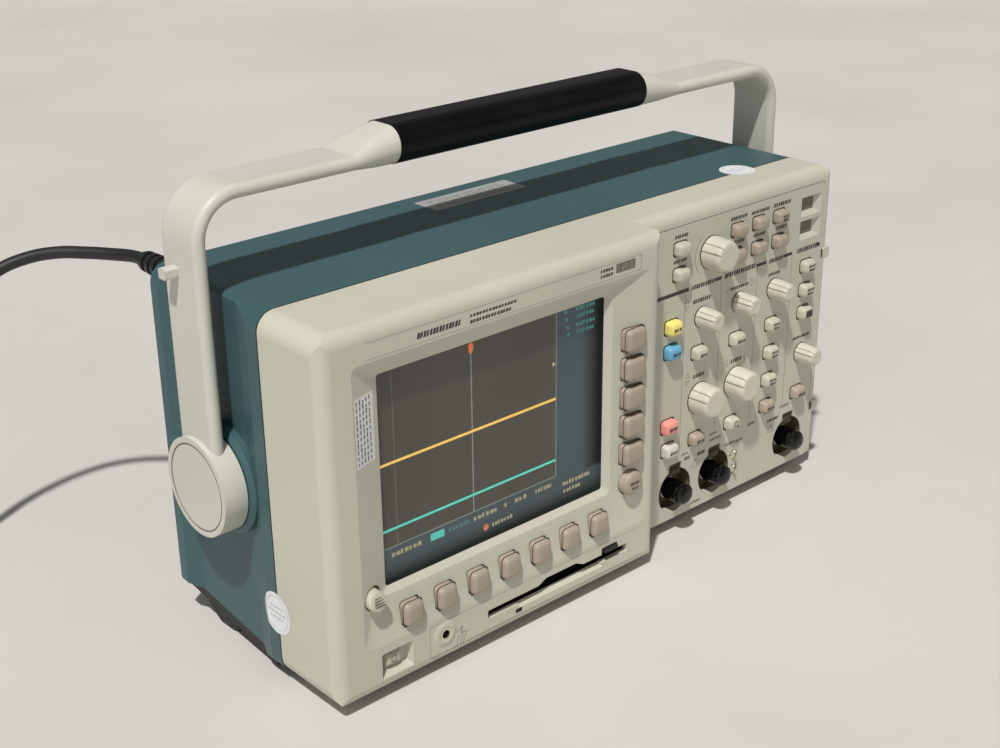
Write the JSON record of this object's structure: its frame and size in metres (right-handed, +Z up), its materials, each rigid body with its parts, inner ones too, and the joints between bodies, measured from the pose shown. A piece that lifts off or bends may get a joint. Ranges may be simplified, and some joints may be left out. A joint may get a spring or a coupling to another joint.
{
  "type": "oscilloscope",
  "caption": "Portable bench oscilloscope with a dished colour display, soft keys, a stepped control panel, capped inputs, a disk slot and a swinging carrying handle.",
  "frame": {"origin": "under the middle of the instrument, at the level of its feet, without its mains cord", "axes": "+X along the width, to the right of someone facing the screen; +Y from the front to the rear; +Z up"},
  "size_m": [0.5646, 0.3698, 0.2355],
  "materials": {
    "pale_plastic": "fine satin moulding",
    "pale_panel": "fine satin moulding",
    "pale_handle": "smooth satin",
    "pale_knob": "smooth satin",
    "pale_key": "smooth satin",
    "white_key": "smooth satin",
    "yellow_key": "smooth satin",
    "blue_key": "smooth satin",
    "coral_key": "smooth satin",
    "tan_plastic": "smooth satin",
    "teal_plastic": "fine satin moulding",
    "black_plastic": "satin",
    "black_gloss": "glossy",
    "black_rubber": "satin",
    "cord_rubber": "satin",
    "screen_glass": "clear, slightly dusty",
    "steel": "plated",
    "plated_brass": "nickel plated",
    "circuit_board": "solder resist"
  },
  "bodies": {
    "instrument": {"front_casing": "pale_plastic", "control_panel": "pale_panel", "rear_case": "teal_plastic", "base_tray": "black_plastic", "display_window": "screen_glass", "lcd_module": "steel", "keypad_boards": "circuit_board", "main_board": "circuit_board", "power_supply": "steel", "floppy_drive": "black_plastic", "front_terminals": "plated_brass", "bnc_caps": "black_gloss", "power_inlet": "black_plastic", "rubber_feet": "black_rubber", "screws": "steel", "handle_pivots": "steel", "cord_connector": "cord_rubber", "cord_tube": "cord_rubber", "cord_coil": "cord_rubber", "mains_plug": "cord_rubber"},
    "handle": {"handle_frame": "pale_handle", "handle_grip": "black_rubber", "hub_caps": "pale_handle"},
    "floppy_eject_body": {"floppy_eject": "black_plastic"},
    "bottom_softkeys_body": {"bottom_softkeys": "tan_plastic"},
    "side_softkeys_body": {"side_softkeys": "tan_plastic"},
    "key_menu_off_body": {"key_menu_off": "tan_plastic"},
    "key_print_body": {"key_print": "white_key"},
    "key_power_body": {"key_power": "pale_key"},
    "knob_general_body": {"knob_general": "pale_knob"},
    "knob_vertical_position_body": {"knob_vertical_position": "pale_knob"},
    "knob_horizontal_position_body": {"knob_horizontal_position": "pale_knob"},
    "knob_trigger_level_body": {"knob_trigger_level": "pale_knob"},
    "knob_intensity_body": {"knob_intensity": "pale_knob"},
    "knob_vertical_scale_body": {"knob_vertical_scale": "pale_knob"},
    "knob_horizontal_scale_body": {"knob_horizontal_scale": "pale_knob"},
    "key_menu_1_body": {"key_menu_1": "tan_plastic"},
    "key_menu_2_body": {"key_menu_2": "tan_plastic"},
    "key_menu_3_body": {"key_menu_3": "tan_plastic"},
    "key_menu_4_body": {"key_menu_4": "tan_plastic"},
    "key_menu_5_body": {"key_menu_5": "tan_plastic"},
    "key_menu_6_body": {"key_menu_6": "tan_plastic"},
    "key_select_body": {"key_select": "pale_key"},
    "key_coarse_body": {"key_coarse": "pale_key"},
    "key_channel_1_body": {"key_channel_1": "yellow_key"},
    "key_channel_2_body": {"key_channel_2": "blue_key"},
    "key_math_body": {"key_math": "coral_key"},
    "key_reference_body": {"key_reference": "white_key"},
    "key_off_body": {"key_off": "pale_key"},
    "key_vertical_menu_body": {"key_vertical_menu": "tan_plastic"},
    "key_delay_body": {"key_delay": "pale_key"},
    "key_zoom_body": {"key_zoom": "pale_key"},
    "key_set_level_body": {"key_set_level": "pale_key"},
    "key_force_body": {"key_force": "pale_key"},
    "key_trigger_b_body": {"key_trigger_b": "pale_key"},
    "key_trigger_menu_body": {"key_trigger_menu": "tan_plastic"},
    "key_run_stop_body": {"key_run_stop": "pale_key"},
    "key_single_body": {"key_single": "pale_key"},
    "key_autoset_body": {"key_autoset": "pale_key"},
    "key_acquire_body": {"key_acquire": "tan_plastic"}
  },
  "joints": [
    {"name": "handle_swing", "type": "hinge", "parent": "instrument", "child": "handle", "pos_m": [0, 0.016, 0.0907], "axis": [1, 0, 0], "range_deg": [-40, 120]},
    {"name": "floppy_eject_press", "type": "slide", "parent": "instrument", "child": "floppy_eject_body", "axis": [0, 1, 0], "range_m": [0, 0.003], "stiffness_N_per_m": 500},
    {"name": "bottom_softkeys_press", "type": "slide", "parent": "instrument", "child": "bottom_softkeys_body", "axis": [0, 1, 0], "range_m": [0, 0.0012], "stiffness_N_per_m": 1000},
    {"name": "side_softkeys_press", "type": "slide", "parent": "instrument", "child": "side_softkeys_body", "axis": [0, 1, 0], "range_m": [0, 0.0012], "stiffness_N_per_m": 1000},
    {"name": "key_menu_off_press", "type": "slide", "parent": "instrument", "child": "key_menu_off_body", "axis": [0, 1, 0], "range_m": [0, 0.0012], "stiffness_N_per_m": 1000},
    {"name": "key_print_press", "type": "slide", "parent": "instrument", "child": "key_print_body", "axis": [0, 1, 0], "range_m": [0, 0.0012], "stiffness_N_per_m": 1000},
    {"name": "key_power_press", "type": "slide", "parent": "instrument", "child": "key_power_body", "axis": [0, 1, 0], "range_m": [0, 0.0012], "stiffness_N_per_m": 1000},
    {"name": "key_menu_1_press", "type": "slide", "parent": "instrument", "child": "key_menu_1_body", "axis": [0, 1, 0], "range_m": [0, 0.0012], "stiffness_N_per_m": 1000},
    {"name": "key_menu_2_press", "type": "slide", "parent": "instrument", "child": "key_menu_2_body", "axis": [0, 1, 0], "range_m": [0, 0.0012], "stiffness_N_per_m": 1000},
    {"name": "key_menu_3_press", "type": "slide", "parent": "instrument", "child": "key_menu_3_body", "axis": [0, 1, 0], "range_m": [0, 0.0012], "stiffness_N_per_m": 1000},
    {"name": "key_menu_4_press", "type": "slide", "parent": "instrument", "child": "key_menu_4_body", "axis": [0, 1, 0], "range_m": [0, 0.0012], "stiffness_N_per_m": 1000},
    {"name": "key_menu_5_press", "type": "slide", "parent": "instrument", "child": "key_menu_5_body", "axis": [0, 1, 0], "range_m": [0, 0.0012], "stiffness_N_per_m": 1000},
    {"name": "key_menu_6_press", "type": "slide", "parent": "instrument", "child": "key_menu_6_body", "axis": [0, 1, 0], "range_m": [0, 0.0012], "stiffness_N_per_m": 1000},
    {"name": "key_select_press", "type": "slide", "parent": "instrument", "child": "key_select_body", "axis": [0, 1, 0], "range_m": [0, 0.0012], "stiffness_N_per_m": 1000},
    {"name": "key_coarse_press", "type": "slide", "parent": "instrument", "child": "key_coarse_body", "axis": [0, 1, 0], "range_m": [0, 0.0012], "stiffness_N_per_m": 1000},
    {"name": "key_channel_1_press", "type": "slide", "parent": "instrument", "child": "key_channel_1_body", "axis": [0, 1, 0], "range_m": [0, 0.0012], "stiffness_N_per_m": 1000},
    {"name": "key_channel_2_press", "type": "slide", "parent": "instrument", "child": "key_channel_2_body", "axis": [0, 1, 0], "range_m": [0, 0.0012], "stiffness_N_per_m": 1000},
    {"name": "key_math_press", "type": "slide", "parent": "instrument", "child": "key_math_body", "axis": [0, 1, 0], "range_m": [0, 0.0012], "stiffness_N_per_m": 1000},
    {"name": "key_reference_press", "type": "slide", "parent": "instrument", "child": "key_reference_body", "axis": [0, 1, 0], "range_m": [0, 0.0012], "stiffness_N_per_m": 1000},
    {"name": "key_off_press", "type": "slide", "parent": "instrument", "child": "key_off_body", "axis": [0, 1, 0], "range_m": [0, 0.0012], "stiffness_N_per_m": 1000},
    {"name": "key_vertical_menu_press", "type": "slide", "parent": "instrument", "child": "key_vertical_menu_body", "axis": [0, 1, 0], "range_m": [0, 0.0012], "stiffness_N_per_m": 1000},
    {"name": "key_delay_press", "type": "slide", "parent": "instrument", "child": "key_delay_body", "axis": [0, 1, 0], "range_m": [0, 0.0012], "stiffness_N_per_m": 1000},
    {"name": "key_zoom_press", "type": "slide", "parent": "instrument", "child": "key_zoom_body", "axis": [0, 1, 0], "range_m": [0, 0.0012], "stiffness_N_per_m": 1000},
    {"name": "key_set_level_press", "type": "slide", "parent": "instrument", "child": "key_set_level_body", "axis": [0, 1, 0], "range_m": [0, 0.0012], "stiffness_N_per_m": 1000},
    {"name": "key_force_press", "type": "slide", "parent": "instrument", "child": "key_force_body", "axis": [0, 1, 0], "range_m": [0, 0.0012], "stiffness_N_per_m": 1000},
    {"name": "key_trigger_b_press", "type": "slide", "parent": "instrument", "child": "key_trigger_b_body", "axis": [0, 1, 0], "range_m": [0, 0.0012], "stiffness_N_per_m": 1000},
    {"name": "key_trigger_menu_press", "type": "slide", "parent": "instrument", "child": "key_trigger_menu_body", "axis": [0, 1, 0], "range_m": [0, 0.0012], "stiffness_N_per_m": 1000},
    {"name": "key_run_stop_press", "type": "slide", "parent": "instrument", "child": "key_run_stop_body", "axis": [0, 1, 0], "range_m": [0, 0.0012], "stiffness_N_per_m": 1000},
    {"name": "key_single_press", "type": "slide", "parent": "instrument", "child": "key_single_body", "axis": [0, 1, 0], "range_m": [0, 0.0012], "stiffness_N_per_m": 1000},
    {"name": "key_autoset_press", "type": "slide", "parent": "instrument", "child": "key_autoset_body", "axis": [0, 1, 0], "range_m": [0, 0.0012], "stiffness_N_per_m": 1000},
    {"name": "key_acquire_press", "type": "slide", "parent": "instrument", "child": "key_acquire_body", "axis": [0, 1, 0], "range_m": [0, 0.0012], "stiffness_N_per_m": 1000},
    {"name": "knob_general_turn", "type": "hinge", "parent": "instrument", "child": "knob_general_body", "pos_m": [0.0779, -0.052, 0.1524], "axis": [0, 1, 0], "continuous": true},
    {"name": "knob_vertical_position_turn", "type": "hinge", "parent": "instrument", "child": "knob_vertical_position_body", "pos_m": [0.0724, -0.052, 0.1189], "axis": [0, 1, 0], "continuous": true},
    {"name": "knob_horizontal_position_turn", "type": "hinge", "parent": "instrument", "child": "knob_horizontal_position_body", "pos_m": [0.1018, -0.052, 0.1196], "axis": [0, 1, 0], "continuous": true},
    {"name": "knob_trigger_level_turn", "type": "hinge", "parent": "instrument", "child": "knob_trigger_level_body", "pos_m": [0.1306, -0.052, 0.1198], "axis": [0, 1, 0], "continuous": true},
    {"name": "knob_intensity_turn", "type": "hinge", "parent": "instrument", "child": "knob_intensity_body", "pos_m": [0.1584, -0.052, 0.075], "axis": [0, 1, 0], "continuous": true},
    {"name": "knob_vertical_scale_turn", "type": "hinge", "parent": "instrument", "child": "knob_vertical_scale_body", "pos_m": [0.0729, -0.052, 0.0734], "axis": [0, 1, 0], "continuous": true},
    {"name": "knob_horizontal_scale_turn", "type": "hinge", "parent": "instrument", "child": "knob_horizontal_scale_body", "pos_m": [0.1019, -0.052, 0.0739], "axis": [0, 1, 0], "continuous": true}
  ]
}
